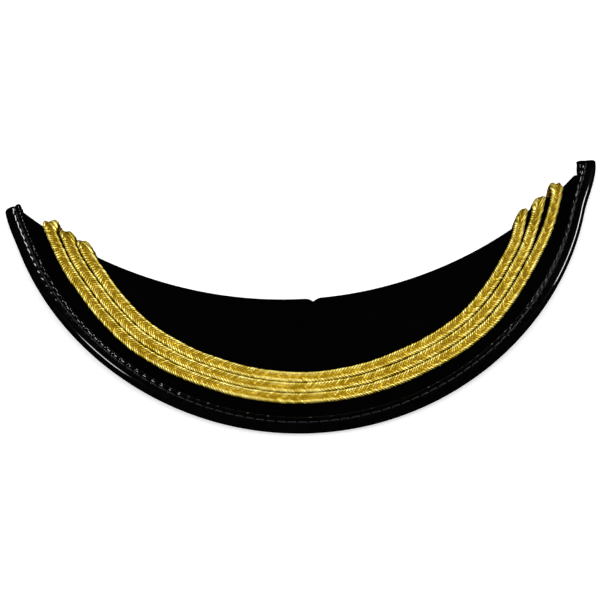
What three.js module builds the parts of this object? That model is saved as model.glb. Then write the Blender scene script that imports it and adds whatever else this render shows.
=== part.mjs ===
// Peak of an officer's peaked cap, taken off its cap: a stiff curved board covered with black
// cloth, a patent leather binding rolled over its rim, and three gold braids sewn along it.
// Millimetres, +Z up, the front of the peak towards -Y, +X on the right of the front view.
import * as THREE from "three";

// Board: its flat pattern, where Y runs forward along the centre line from the curl's apex
const CURL_REACH = 150; // apex to the middle of the seam
const PEAK_DEPTH = 47.9; // seam to rim on the centre line
const SEAM_HALF_SPAN = 98.4; // centre line to a corner of the seam
const SEAM_SAG = 52.8; // corners of the seam behind its middle
const SEAM_FULLNESS = 2.09; // seam ellipse, half length along Y over half width
const TIP_WIDTH = 5.4; // from a corner of the seam to the rim
const RIM_FULLNESS = 1.31; // rim ellipse, half length along Y over half width
const BOARD_THICKNESS = 2; // board with its cloth
const NOTCH_DEPTH = 1.2; // centre mark cut into the seam
const NOTCH_HALF_WIDTH = 2.8;
const NOTCH_OFFSET = 1.3; // centre mark to the right of the centre line
const TONGUE_SETBACK = 0.6; // board's tongue inside the edge of the binding

// Shape of the moulded board
const SLOPE = 32 * THREE.MathUtils.DEG2RAD; // fall across the middle of the depth
const DOME_RADIUS = 600; // bulge from seam to rim

// Binding
const BINDING_WALL = 0.8;
const BINDING_RIM_WALL = 1.2; // leather in front of the board's rim
const BINDING_EDGE = 0.35; // thinned edge of the leather
const BINDING_TOP_WIDTH = 5.5;
const BINDING_UNDER_WIDTH = 5;
const BINDING_THINNING = 0.9; // length over which the edge thins
const LEFT_OVERRUN = 4.5; // binding past the left corner of the seam
const RIGHT_OVERRUN = 8;
const LEFT_FLARE = 0.4; // how far that end bends outwards
const RIGHT_FLARE = 2.4;
const FLARE_LEAD = 8; // rim before the corner that bends with it

// Braids
const BRAID_INSET = 9.8; // rim to the outer braid, on the centre line
const BRAID_WIDTH = 3.45;
const BRAID_HEIGHT = 1.4;
const BRAID_TAIL = 5; // end turned under the board
const CLEARANCE = 0.3; // between neighbouring pieces

// How the braids wander along the rim: place is the share of the half rim, left below zero;
// drift and spread are shares of the braid's width, added to the inset and between braids
const BRAID_COURSE = [
  { place: -0.92, drift: 0.38, spread: 0.16 },
  { place: -0.76, drift: 0.29, spread: 0.06 },
  { place: -0.52, drift: -0.15, spread: 0.02 },
  { place: -0.25, drift: 0, spread: 0 },
  { place: 0.25, drift: 0, spread: 0 },
  { place: 0.5, drift: -0.33, spread: 0 },
  { place: 0.72, drift: -0.04, spread: 0.06 },
  { place: 0.88, drift: -0.1, spread: 0.4 },
];

// Two ridges and the groove between them: across is a share of the half width, towards the
// seam below zero, and rise is a share of the height
const BRAID_SECTION = [
  { across: -1, rise: 0.3 },
  { across: -0.82, rise: 0.85 },
  { across: -0.5, rise: 1 },
  { across: 0, rise: 0.6 },
  { across: 0.5, rise: 1 },
  { across: 0.82, rise: 0.85 },
  { across: 1, rise: 0.3 },
];

// Fineness of the solids
const BOARD_STEPS = 56;
const BOARD_STEPS_ACROSS = 6;
const BINDING_STEPS = 56;
const OVERRUN_STEPS = 3;
const ROLL_STEPS = 5;
const BRAID_STEPS = 48;
const WRAP_STEPS = 6;
const NOTCH_SHARES = [-1, -0.5, -0.2, 0, 0.2, 0.5, 1]; // of its half width
const BRAID_SWING = 0.8; // share of a braid's half length where its end starts to swing
const HALVINGS = 40; // rounds of a search by halves

const HALF_BOARD = BOARD_THICKNESS / 2;
const CHANNEL_HALF = HALF_BOARD + CLEARANCE;
const BINDING_HALF = CHANNEL_HALF + BINDING_WALL;
const MID_REACH = CURL_REACH + PEAK_DEPTH / 2;

const clothBlack = new THREE.MeshStandardMaterial({ color: 0x0c0d10, roughness: 0.92 });
const patentBlack = new THREE.MeshStandardMaterial({ color: 0x050506, roughness: 0.14 });
const braidGold = new THREE.MeshStandardMaterial({ color: 0xd9b23a, roughness: 0.35, metalness: 0.9 });

// An ellipse centred on the pattern's centre line, through its front point and both its corners
function ellipseThrough(front, halfSpan, sag, fullness) {
  const along = (halfSpan ** 2 * fullness ** 2 + sag ** 2) / (2 * sag);
  const across = along / fullness;
  const end = Math.atan2(halfSpan / across, (along - sag) / along);
  return { along, across, centre: front - along, end };
}

const seam = ellipseThrough(CURL_REACH, SEAM_HALF_SPAN, SEAM_SAG, SEAM_FULLNESS);
const rim = ellipseThrough(
  CURL_REACH + PEAK_DEPTH,
  SEAM_HALF_SPAN + TIP_WIDTH,
  SEAM_SAG + PEAK_DEPTH,
  RIM_FULLNESS,
);
const CORNER_SPEED = Math.hypot(rim.across * Math.cos(rim.end), rim.along * Math.sin(rim.end));

// Point of an ellipse at a turn from its front, and the directions out of it and onwards along it
function ellipseFrame(ellipse, turn) {
  const point = new THREE.Vector2(
    ellipse.across * Math.sin(turn),
    ellipse.centre + ellipse.along * Math.cos(turn),
  );
  const out = new THREE.Vector2(Math.sin(turn) / ellipse.across, Math.cos(turn) / ellipse.along);
  out.normalize();
  return { point, out, onward: new THREE.Vector2(out.y, -out.x) };
}

// Rim of the binding at a place from -1 to 1, and past a corner by a length in millimetres
function rimFrame(place, past = 0) {
  const side = place < 0 ? -1 : 1;
  const overrun = side < 0 ? LEFT_OVERRUN : RIGHT_OVERRUN;
  const flare = side < 0 ? LEFT_FLARE : RIGHT_FLARE;
  const frame = ellipseFrame(rim, place * rim.end);
  const fromCorner = past - (1 - Math.abs(place)) * rim.end * CORNER_SPEED;
  const share = Math.max(0, (fromCorner + FLARE_LEAD) / (overrun + FLARE_LEAD));
  const lean = (2 * flare * share) / (overrun + FLARE_LEAD);
  const point = frame.point
    .clone()
    .addScaledVector(frame.onward, side * past)
    .addScaledVector(frame.out, flare * share ** 2);
  const out = frame.out.clone().addScaledVector(frame.onward, -side * lean).normalize();
  return { point, out };
}

// Seam of the board, with its centre mark
function seamPoint(turn) {
  const { point, out } = ellipseFrame(seam, turn);
  const share = Math.min(1, Math.abs(point.x - NOTCH_OFFSET) / NOTCH_HALF_WIDTH);
  return point.addScaledVector(out, NOTCH_DEPTH * (1 - share) ** 2);
}

// Pattern to space: the flat is curled round a cone and domed, and raised by a height off it
function mould(point, height) {
  const reach = point.length();
  const curl = Math.atan2(point.x, point.y) / Math.cos(SLOPE);
  const fall = SLOPE + (reach - MID_REACH) / DOME_RADIUS;
  const radius =
    MID_REACH * Math.cos(SLOPE) +
    DOME_RADIUS * (Math.sin(fall) - Math.sin(SLOPE)) +
    height * Math.sin(fall);
  const level = DOME_RADIUS * (Math.cos(fall) - Math.cos(SLOPE)) + height * Math.cos(fall);
  return new THREE.Vector3(radius * Math.sin(curl), -radius * Math.cos(curl), level);
}

// Closed body through stations, each an outer row and an inner row of as many points
function bandGeometry(stations) {
  const rowLength = stations[0].outer.length;
  const around = 2 * rowLength;
  const positions = [];
  for (const { outer, inner } of stations) {
    for (const point of [...outer, ...[...inner].reverse()]) {
      positions.push(point.x, point.y, point.z);
    }
  }
  const index = [];
  const quad = (a, b, c, d) => index.push(a, b, c, a, c, d);
  for (let station = 0; station + 1 < stations.length; station += 1) {
    const here = station * around;
    for (let k = 0; k < around; k += 1) {
      const next = (k + 1) % around;
      quad(here + k, here + next, here + around + next, here + around + k);
    }
  }
  const last = (stations.length - 1) * around;
  for (let k = 0; k + 1 < rowLength; k += 1) {
    quad(k, around - 1 - k, around - 2 - k, k + 1);
    quad(last + k, last + k + 1, last + around - 2 - k, last + around - 1 - k);
  }
  const geometry = new THREE.BufferGeometry();
  geometry.setAttribute("position", new THREE.Float32BufferAttribute(positions, 3));
  geometry.setIndex(index);
  geometry.computeVertexNormals();
  return geometry;
}

function namedMesh(name, geometry, material) {
  const mesh = new THREE.Mesh(geometry, material);
  mesh.name = name;
  return mesh;
}

// Even shares from a first to a last value
function spread(first, last, steps) {
  return Array.from({ length: steps + 1 }, (_, k) => first + ((last - first) * k) / steps);
}

// Cloth covered board: a crescent between seam and rim, with a tongue under each binding end
function boardStation(seamSide, rimSide) {
  const line = spread(0, 1, BOARD_STEPS_ACROSS).map((share) => seamSide.clone().lerp(rimSide, share));
  return {
    outer: line.map((point) => mould(point, HALF_BOARD)),
    inner: line.map((point) => mould(point, -HALF_BOARD)),
  };
}

function boardRim(frame) {
  return frame.point.clone().addScaledVector(frame.out, -BINDING_RIM_WALL - CLEARANCE);
}

function boardPlaces() {
  const marks = NOTCH_SHARES.map((share) => {
    const across = NOTCH_OFFSET + share * NOTCH_HALF_WIDTH;
    return Math.asin(across / seam.across) / seam.end;
  });
  const first = marks.at(0) - 1 / BOARD_STEPS;
  const last = marks.at(-1) + 1 / BOARD_STEPS;
  const rest = spread(-1, 1, BOARD_STEPS).filter((place) => place < first || place > last);
  return [...rest, ...marks].sort((a, b) => a - b);
}

function tongueStations(side, overrun) {
  const inset = BINDING_UNDER_WIDTH - TONGUE_SETBACK;
  return spread(1 / OVERRUN_STEPS, 1, OVERRUN_STEPS).map((share) => {
    const frame = rimFrame(side, share * (overrun - CLEARANCE));
    return boardStation(frame.point.clone().addScaledVector(frame.out, -inset), boardRim(frame));
  });
}

function buildBoard() {
  const middle = boardPlaces().map((place) =>
    boardStation(seamPoint(place * seam.end), boardRim(rimFrame(place))),
  );
  const stations = [
    ...tongueStations(-1, LEFT_OVERRUN).reverse(),
    ...middle,
    ...tongueStations(1, RIGHT_OVERRUN),
  ];
  return namedMesh("peak_panel", bandGeometry(stations), clothBlack);
}

// Leather binding: its section as insets from the rim and heights off the board's middle
function bindingSection() {
  const rollAt = (angle) => ({
    inset: BINDING_HALF * (1 - Math.cos(angle)),
    height: BINDING_HALF * Math.sin(angle),
  });
  const roll = spread(Math.PI / 2, -Math.PI / 2, ROLL_STEPS).map(rollAt);
  const outer = [
    { inset: BINDING_TOP_WIDTH, height: CHANNEL_HALF + BINDING_EDGE },
    { inset: BINDING_TOP_WIDTH - BINDING_THINNING, height: BINDING_HALF },
    ...roll,
    { inset: BINDING_UNDER_WIDTH - BINDING_THINNING, height: -BINDING_HALF },
    { inset: BINDING_UNDER_WIDTH, height: -CHANNEL_HALF - BINDING_EDGE },
  ];
  const half = outer.length / 2;
  const top = spread(BINDING_TOP_WIDTH, BINDING_RIM_WALL, half - 1);
  const under = spread(BINDING_RIM_WALL, BINDING_UNDER_WIDTH, half - 1);
  const inner = [
    ...top.map((inset) => ({ inset, height: CHANNEL_HALF })),
    ...under.map((inset) => ({ inset, height: -CHANNEL_HALF })),
  ];
  return { outer, inner };
}

function buildBinding() {
  const section = bindingSection();
  const overrunFrames = (side, overrun) =>
    spread(1 / OVERRUN_STEPS, 1, OVERRUN_STEPS - 1).map((share) => rimFrame(side, share * overrun));
  const frames = [
    ...overrunFrames(-1, LEFT_OVERRUN).reverse(),
    ...spread(-1, 1, BINDING_STEPS).map((place) => rimFrame(place)),
    ...overrunFrames(1, RIGHT_OVERRUN),
  ];
  const stations = frames.map(({ point, out }) => {
    const row = (rows) =>
      rows.map(({ inset, height }) => mould(point.clone().addScaledVector(out, -inset), height));
    return { outer: row(section.outer), inner: row(section.inner) };
  });
  return namedMesh("edge_binding", bandGeometry(stations), patentBlack);
}

// Drift and spread of the braids at a place, eased between the rows of their table
function courseAt(place) {
  const next = BRAID_COURSE.findIndex((row) => row.place >= place);
  if (next <= 0) {
    return next === 0 ? BRAID_COURSE[0] : BRAID_COURSE.at(-1);
  }
  const before = BRAID_COURSE[next - 1];
  const after = BRAID_COURSE[next];
  const share = THREE.MathUtils.smoothstep(place, before.place, after.place);
  return {
    drift: THREE.MathUtils.lerp(before.drift, after.drift, share),
    spread: THREE.MathUtils.lerp(before.spread, after.spread, share),
  };
}

// Pattern point of one line of a braid: order counts braids from the rim, across its own width
function braidPoint(order, across, place) {
  const course = courseAt(place);
  const pitch = BRAID_WIDTH * (1 + course.spread) + CLEARANCE;
  const outerMiddle = BRAID_INSET + BRAID_WIDTH * (0.5 + course.drift);
  const inset = outerMiddle + order * pitch - (across * BRAID_WIDTH) / 2;
  const { point, out } = ellipseFrame(rim, place * rim.end);
  return point.addScaledVector(out, -inset);
}

// Place where a braid's line meets the seam on one side
function placeAtSeam(order, across, side) {
  let onBoard = 0;
  let beyond = side;
  for (let round = 0; round < HALVINGS; round += 1) {
    const place = (onBoard + beyond) / 2;
    const point = braidPoint(order, across, place);
    const radius = Math.hypot(point.x / seam.across, (point.y - seam.centre) / seam.along);
    if (radius > 1) {
      onBoard = place;
    } else {
      beyond = place;
    }
  }
  return onBoard;
}

// A braid's lines run square across it, and swing parallel to the seam before its ends
function braidStation(order, share) {
  const columns = BRAID_SECTION.map(({ across, rise }) => {
    const side = Math.sign(share) || 1;
    const ownEnd = placeAtSeam(order, across, side);
    const middleEnd = placeAtSeam(order, 0, side);
    const swing = THREE.MathUtils.smoothstep(Math.abs(share), BRAID_SWING, 1);
    const end = THREE.MathUtils.lerp(middleEnd, ownEnd, swing);
    return { point: braidPoint(order, across, Math.abs(share) * end), rise };
  });
  return {
    outer: columns.map(({ point, rise }) => mould(point, CHANNEL_HALF + rise * BRAID_HEIGHT)),
    inner: columns.map(({ point }) => mould(point, CHANNEL_HALF)),
  };
}

// Half turn of a braid round the board's seam edge, and its tail along the underside
function braidEndStations(order, side) {
  const columns = BRAID_SECTION.map(({ across, rise }) => {
    const point = braidPoint(order, across, placeAtSeam(order, across, side));
    const turn = Math.atan2(point.x / seam.across, (point.y - seam.centre) / seam.along);
    return { point, rise, away: ellipseFrame(seam, turn).out.negate() };
  });
  const station = (angle, back) => {
    const row = (lift) =>
      columns.map(({ point, rise, away }) => {
        const radius = CHANNEL_HALF + lift * rise * BRAID_HEIGHT;
        const shift = radius * Math.sin(angle) - back;
        return mould(point.clone().addScaledVector(away, shift), radius * Math.cos(angle));
      });
    return { outer: row(1), inner: row(0) };
  };
  const wrap = spread(Math.PI / WRAP_STEPS, Math.PI, WRAP_STEPS - 1).map((angle) => station(angle, 0));
  return [...wrap, station(Math.PI, BRAID_TAIL)];
}

function buildBraid(name, order) {
  const stations = [
    ...braidEndStations(order, -1).reverse(),
    ...spread(-1, 1, BRAID_STEPS).map((share) => braidStation(order, share)),
    ...braidEndStations(order, 1),
  ];
  return namedMesh(name, bandGeometry(stations), braidGold);
}

// Corners of every mesh of a group, with the group's own turn and place
function cornersOf(group) {
  group.updateMatrixWorld(true);
  return group.children.flatMap((mesh) => {
    const positions = mesh.geometry.getAttribute("position");
    return spread(0, positions.count - 1, positions.count - 1).map((k) =>
      new THREE.Vector3().fromBufferAttribute(positions, k).applyMatrix4(mesh.matrixWorld),
    );
  });
}

// Lowest corner of the front half less the lowest of the back half, once turned about X
function frontAboveBack(corners, turn) {
  const axis = new THREE.Vector3(1, 0, 0);
  const turned = corners.map((corner) => corner.clone().applyAxisAngle(axis, turn));
  const box = new THREE.Box3().setFromPoints(turned);
  const middle = (box.min.y + box.max.y) / 2;
  const lowest = (half) => Math.min(...half.map((corner) => corner.z));
  const front = turned.filter((corner) => corner.y < middle);
  const back = turned.filter((corner) => corner.y >= middle);
  return lowest(front) - lowest(back);
}

// Turn about X at which the peak lies on a flat surface, on its rim and its two tips
function restingTurn(corners) {
  let low = -Math.PI / 4;
  let high = Math.PI / 4;
  for (let round = 0; round < HALVINGS; round += 1) {
    const turn = (low + high) / 2;
    if (frontAboveBack(corners, turn) > 0) {
      low = turn;
    } else {
      high = turn;
    }
  }
  return (low + high) / 2;
}

const laid = new THREE.Group();
laid.add(
  buildBoard(),
  buildBinding(),
  buildBraid("braid_outer", 0),
  buildBraid("braid_middle", 1),
  buildBraid("braid_inner", 2),
);
laid.rotation.x = restingTurn(cornersOf(laid));
const laidBox = new THREE.Box3().setFromPoints(cornersOf(laid));
const laidCentre = laidBox.getCenter(new THREE.Vector3());
laid.position.set(-laidCentre.x, -laidCentre.y, -laidBox.min.z);

const peak = new THREE.Group();
peak.add(laid);

export default peak;
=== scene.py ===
# %% [markdown]
# # The peak of an officer's peaked cap
# The peak lies on a table before it is sewn to its cap: a stiff curved board covered with black
# cloth, with glossy leather rolled over its rim and three gold braids sewn along it.
# The measured solids come first. Each piece below takes the place of one of them, with the
# weave, stitches and threads that the solids leave out.

import bpy
import numpy as np
from mathutils import Matrix, Vector


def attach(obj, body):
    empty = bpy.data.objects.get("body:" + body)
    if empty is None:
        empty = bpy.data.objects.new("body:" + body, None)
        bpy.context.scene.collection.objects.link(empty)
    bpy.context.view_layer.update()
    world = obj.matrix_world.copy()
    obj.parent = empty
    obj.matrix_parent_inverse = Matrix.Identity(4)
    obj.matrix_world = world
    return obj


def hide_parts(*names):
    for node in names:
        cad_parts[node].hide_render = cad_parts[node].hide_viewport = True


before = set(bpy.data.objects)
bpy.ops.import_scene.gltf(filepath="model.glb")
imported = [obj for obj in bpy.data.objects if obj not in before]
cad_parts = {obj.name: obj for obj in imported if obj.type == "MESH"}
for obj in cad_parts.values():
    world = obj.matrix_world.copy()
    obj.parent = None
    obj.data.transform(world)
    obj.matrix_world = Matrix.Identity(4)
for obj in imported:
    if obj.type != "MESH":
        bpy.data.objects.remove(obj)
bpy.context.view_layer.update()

print("solids:", sorted(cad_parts))

# %% [markdown]
# A peak starts as a flat crescent between two ellipses, one for the seam and one for the rim.
# Everything on it is laid out on that flat pattern, as a cap maker would: a stitch row is a
# distance in from the rim. Working on the pattern keeps the rows even, where points placed
# straight in space would have to be corrected one by one.

# %% The flat pattern
MM = 0.001
CURL_REACH = 150 * MM
PEAK_DEPTH = 47.9 * MM
SEAM_HALF_SPAN = 98.4 * MM
SEAM_SAG = 52.8 * MM
SEAM_FULLNESS = 2.09
TIP_WIDTH = 5.4 * MM
RIM_FULLNESS = 1.31


def ellipse_through(front, half_span, sag, fullness):
    """Ellipse on the centre line through its front point and both corners.

    Its half length follows from one corner lying on it: along is (span^2 fullness^2 + sag^2)
    over twice the sag, and across is along over fullness.
    """
    along = (half_span**2 * fullness**2 + sag**2) / (2 * sag)
    across = along / fullness
    end = np.arctan2(half_span / across, (along - sag) / along)
    return {"along": along, "across": across, "centre": front - along, "end": end}


def smooth(value):
    """Ease in and out: 3 times the square less twice the cube, held between 0 and 1."""
    value = np.clip(value, 0, 1)
    return value * value * (3 - 2 * value)


def ellipse_frame(ellipse, turn):
    """Point of an ellipse at a turn from its front, and the directions out of it and onward."""
    point = np.stack(
        [ellipse["across"] * np.sin(turn), ellipse["centre"] + ellipse["along"] * np.cos(turn)], -1
    )
    out = np.stack([np.sin(turn) / ellipse["across"], np.cos(turn) / ellipse["along"]], -1)
    out /= np.linalg.norm(out, axis=-1, keepdims=True)
    return point, out, np.stack([out[..., 1], -out[..., 0]], -1)


seam = ellipse_through(CURL_REACH, SEAM_HALF_SPAN, SEAM_SAG, SEAM_FULLNESS)
rim = ellipse_through(
    CURL_REACH + PEAK_DEPTH, SEAM_HALF_SPAN + TIP_WIDTH, SEAM_SAG + PEAK_DEPTH, RIM_FULLNESS
)
print("half widths of seam and rim ellipse:", round(seam["across"], 4), round(rim["across"], 4))

# %% [markdown]
# The flat pattern is then moulded: it is curled round a cone and domed a little, and the
# finished peak is laid on the table, where it rests on the front of its rim and on its two tips.
# One function does this for every piece, so that they all fit each other.

# %% From the pattern to the moulded peak
SLOPE = np.radians(32)
DOME_RADIUS = 600 * MM
MID_REACH = CURL_REACH + PEAK_DEPTH / 2
LAID_TURN = np.radians(-15.758)
LAID_SHIFT = np.array([-1.1208, 108.2898, -31.5692]) * MM


def turn_as_laid(worn):
    """Turn about X from the worn position to the lying one."""
    y, z = worn[..., 1], worn[..., 2]
    cos, sin = np.cos(LAID_TURN), np.sin(LAID_TURN)
    return np.stack([worn[..., 0], y * cos - z * sin, y * sin + z * cos], -1)


def mould(point, height):
    """Pattern point and height off the board to space.

    The distance from the pattern's apex becomes an arc down the dome, and the angle round the
    apex becomes a wider angle round the cone, by one over the cosine of the slope.
    """
    reach = np.hypot(point[..., 0], point[..., 1])
    curl = np.arctan2(point[..., 0], point[..., 1]) / np.cos(SLOPE)
    fall = SLOPE + (reach - MID_REACH) / DOME_RADIUS
    radius = MID_REACH * np.cos(SLOPE) + DOME_RADIUS * (np.sin(fall) - np.sin(SLOPE))
    radius = radius + height * np.sin(fall)
    level = DOME_RADIUS * (np.cos(fall) - np.cos(SLOPE)) + height * np.cos(fall)
    worn = np.stack([radius * np.sin(curl), -radius * np.cos(curl), level], -1)
    return turn_as_laid(worn) + LAID_SHIFT


middle = mould(np.array([0.0, MID_REACH]), np.array(0.0))
print("middle of the peak:", middle.round(4))

# %% [markdown]
# The camera looks down on the front of the peak from about fifty degrees, through a long lens,
# and it is rolled a little. Its place was worked out by fitting the pattern's outline to the
# photograph. It is aimed at the middle of the picture, so that no lens shift is needed.

# %% Camera
CAMERA_ROUND = np.radians(-1.734)
CAMERA_ABOVE = np.radians(33.295)
CAMERA_ROLL = np.radians(-2.856)
CAMERA_DISTANCE = 1.5
PIXELS_PER_METRE = 3050
PICTURE_SIDE = 600
MIDDLE_IN_PICTURE = (314.348, 365.315)

round_sin, round_cos = np.sin(CAMERA_ROUND), np.cos(CAMERA_ROUND)
above_sin, above_cos = np.sin(CAMERA_ABOVE), np.cos(CAMERA_ABOVE)
ahead = turn_as_laid(np.array([-round_sin * above_cos, round_cos * above_cos, -above_sin]))
level_right = turn_as_laid(np.array([round_cos, round_sin, 0.0]))
level_up = turn_as_laid(np.array([-round_sin * above_sin, round_cos * above_sin, above_cos]))
picture_right = level_right * np.cos(CAMERA_ROLL) + level_up * np.sin(CAMERA_ROLL)
picture_up = level_up * np.cos(CAMERA_ROLL) - level_right * np.sin(CAMERA_ROLL)

camera_at = middle - CAMERA_DISTANCE * ahead
aim_right = (PICTURE_SIDE / 2 - MIDDLE_IN_PICTURE[0]) / PIXELS_PER_METRE
aim_up = (MIDDLE_IN_PICTURE[1] - PICTURE_SIDE / 2) / PIXELS_PER_METRE
aim = Vector(middle + aim_right * picture_right + aim_up * picture_up)
backward = (Vector(camera_at) - aim).normalized()
sideways = Vector(picture_up).cross(backward).normalized()
upward = backward.cross(sideways)

camera = bpy.data.objects.new("camera", bpy.data.cameras.new("camera"))
camera.data.sensor_width = 36
camera.data.lens = 36 * PIXELS_PER_METRE * CAMERA_DISTANCE / PICTURE_SIDE
facing = Matrix((sideways, upward, backward)).transposed()
camera.matrix_world = Matrix.Translation(Vector(camera_at)) @ facing.to_4x4()
bpy.context.scene.collection.objects.link(camera)
bpy.context.scene.camera = camera
print("camera at", camera_at.round(3), "lens", round(camera.data.lens, 1), "mm")

# %% [markdown]
# Every piece is one closed surface worked out as a grid: rows follow one another along the piece
# and columns go round it. One helper turns such a grid into a mesh. It measures the volume that
# the faces enclose, and turns them over if it comes out negative, so that they all face outwards.

# %% Grids into meshes
SHARP_ANGLE = np.radians(60)


def grid_faces(rows, columns):
    """Quads between neighbours on a grid whose last column joins its first."""
    row, column = np.meshgrid(np.arange(rows - 1), np.arange(columns), indexing="ij")
    after = (column + 1) % columns
    here, there = row * columns, (row + 1) * columns
    corners = [here + column, here + after, there + after, there + column]
    return np.stack(corners, -1).reshape(-1, 4)


def ribbon_caps(rows, columns):
    """Both ends of a band, closed by quads between its outer half row and its inner one."""
    k = np.arange(columns // 2 - 1)
    first = np.stack([k, columns - 1 - k, columns - 2 - k, k + 1], -1)
    return np.concatenate([first, (first + (rows - 1) * columns)[:, ::-1]])


def enclosed_volume(points, faces):
    """Sum of the signed tetrahedra between the origin and each triangle of each face."""
    total = 0.0
    for second in range(1, faces.shape[1] - 1):
        a, b, c = points[faces[:, 0]], points[faces[:, second]], points[faces[:, second + 1]]
        total += np.einsum("ij,ij->i", a, np.cross(b, c)).sum() / 6
    return total


def make_piece(name, points, face_groups, uv=None, values=None):
    """Mesh object at the origin, with its own UV map and named values on its vertices."""
    points = points.reshape(-1, 3)
    if sum(enclosed_volume(points, faces) for faces in face_groups) < 0:
        face_groups = [faces[:, ::-1] for faces in face_groups]
    mesh = bpy.data.meshes.new(name)
    all_faces = [face for group in face_groups for face in group.tolist()]
    mesh.from_pydata(points.tolist(), [], all_faces)
    if uv is not None:
        corner_points = np.concatenate([faces.ravel() for faces in face_groups])
        layer = mesh.uv_layers.new(name="UVMap")
        layer.data.foreach_set("uv", uv.reshape(-1, 2)[corner_points].ravel().astype(np.float32))
    for key, value in (values or {}).items():
        attribute = mesh.attributes.new(key, "FLOAT", "POINT")
        attribute.data.foreach_set("value", value.ravel().astype(np.float32))
    mesh.shade_smooth()
    mesh.set_sharp_from_angle(angle=SHARP_ANGLE)
    piece = bpy.data.objects.new(name, mesh)
    bpy.context.scene.collection.objects.link(piece)
    triangles = sum(len(face) - 2 for face in all_faces)
    print(name, len(points), "points,", triangles, "triangles")
    return piece


def dress(piece, material, slot, *nodes):
    """Give a piece its material, its body and the solids that it stands for."""
    piece.data.materials.append(material)
    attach(piece, "root")
    if nodes:
        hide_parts(*nodes)


# %% [markdown]
# Materials are small node graphs. Most of them need the same few moves: a smooth noise, a sum or
# product of two values, a blend of two colours, and a bump. A small helper for each keeps the
# recipes below short enough to read.

# %% Helpers for materials
def new_material(name):
    material = bpy.data.materials.new(name)
    material.use_nodes = True
    return material, material.node_tree.nodes["Principled BSDF"]


def add_node(material, kind, **settings):
    node = material.node_tree.nodes.new(kind)
    for key, value in settings.items():
        setattr(node, key, value)
    return node


def connect(material, source, target):
    material.node_tree.links.new(source, target)


def math(material, operation, first, second=0.0):
    """One Math node: each input is a socket or a plain number."""
    node = add_node(material, "ShaderNodeMath", operation=operation)
    for socket, value in zip(node.inputs, (first, second)):
        if isinstance(value, (int, float)):
            socket.default_value = value
        else:
            connect(material, value, socket)
    return node.outputs[0]


def plus(material, first, second):
    return math(material, "ADD", first, second)


def times(material, first, second):
    return math(material, "MULTIPLY", first, second)


def coordinates(material, output):
    return add_node(material, "ShaderNodeTexCoord").outputs[output]


def noise(material, vector, scale, detail=3.0, stretch=(1.0, 1.0, 1.0)):
    """Smooth noise: scale is in repeats for each metre."""
    mapping = add_node(material, "ShaderNodeMapping")
    mapping.inputs["Scale"].default_value = stretch
    connect(material, vector, mapping.inputs["Vector"])
    node = add_node(material, "ShaderNodeTexNoise")
    node.inputs["Scale"].default_value = scale
    node.inputs["Detail"].default_value = detail
    connect(material, mapping.outputs[0], node.inputs["Vector"])
    return node.outputs[0]


def ramp(material, value, *stops):
    """Colours along a value: each stop is its place and its linear colour."""
    node = add_node(material, "ShaderNodeValToRGB")
    elements = node.color_ramp.elements
    while len(elements) < len(stops):
        elements.new(0.5)
    for element, (place, colour) in zip(elements, stops):
        element.position = place
        element.color = (*colour, 1.0)
    connect(material, value, node.inputs[0])
    return node.outputs[0]


def blend(material, share, first, second):
    """Blend of two colours by a share, in one Mix node."""
    node = add_node(material, "ShaderNodeMix", data_type="RGBA")
    connect(material, share, node.inputs["Factor"])
    for socket, colour in zip([node.inputs[6], node.inputs[7]], (first, second)):
        if isinstance(colour, tuple):
            socket.default_value = (*colour, 1.0)
        else:
            connect(material, colour, socket)
    return node.outputs[2]


def between(material, value, low, high):
    """Stretch a value from 0 to 1 to the range from low to high."""
    return plus(material, times(material, value, high - low), low)


def bump(material, shader, height, depth):
    """Bump of the whole surface: the height from 0 to 1 stands for a depth in metres."""
    node = add_node(material, "ShaderNodeBump")
    node.inputs["Distance"].default_value = depth
    connect(material, height, node.inputs["Height"])
    connect(material, node.outputs[0], shader.inputs["Normal"])


# %% [markdown]
# The cover is fine black wool cloth, a twill with a short nap. It is almost black from
# everywhere and shows a faint cool sheen where light grazes the nap. A twill is two sets of
# threads, so its bump is the sum of two waves across the cloth's own pattern, which are broken
# up by noise so that it doesn't look printed.

# %% Cloth finish
TWILL_PITCH = 0.55 * MM
PICKS_PER_RIB = 1.6
WEAVE_DEPTH = 0.09 * MM


def split_uv(material):
    """Distance along and distance across of the piece's own UV map, as two sockets."""
    split = add_node(material, "ShaderNodeSeparateXYZ")
    connect(material, coordinates(material, "UV"), split.inputs[0])
    return split.outputs[0], split.outputs[1]


def twill(material, uv):
    """A rib on the diagonal plus a finer pick across it: two sines that noise makes waver."""
    along, across = split_uv(material)
    waver = times(material, noise(material, uv, 900), 2.5)
    turn = 2 * np.pi / TWILL_PITCH
    rib_phase = times(material, plus(material, along, across), turn)
    pick_phase = times(material, across, turn * PICKS_PER_RIB)
    rib = math(material, "SINE", plus(material, rib_phase, waver))
    pick = math(material, "SINE", plus(material, pick_phase, waver))
    return plus(material, times(material, rib, 0.3), times(material, pick, 0.12))


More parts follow.
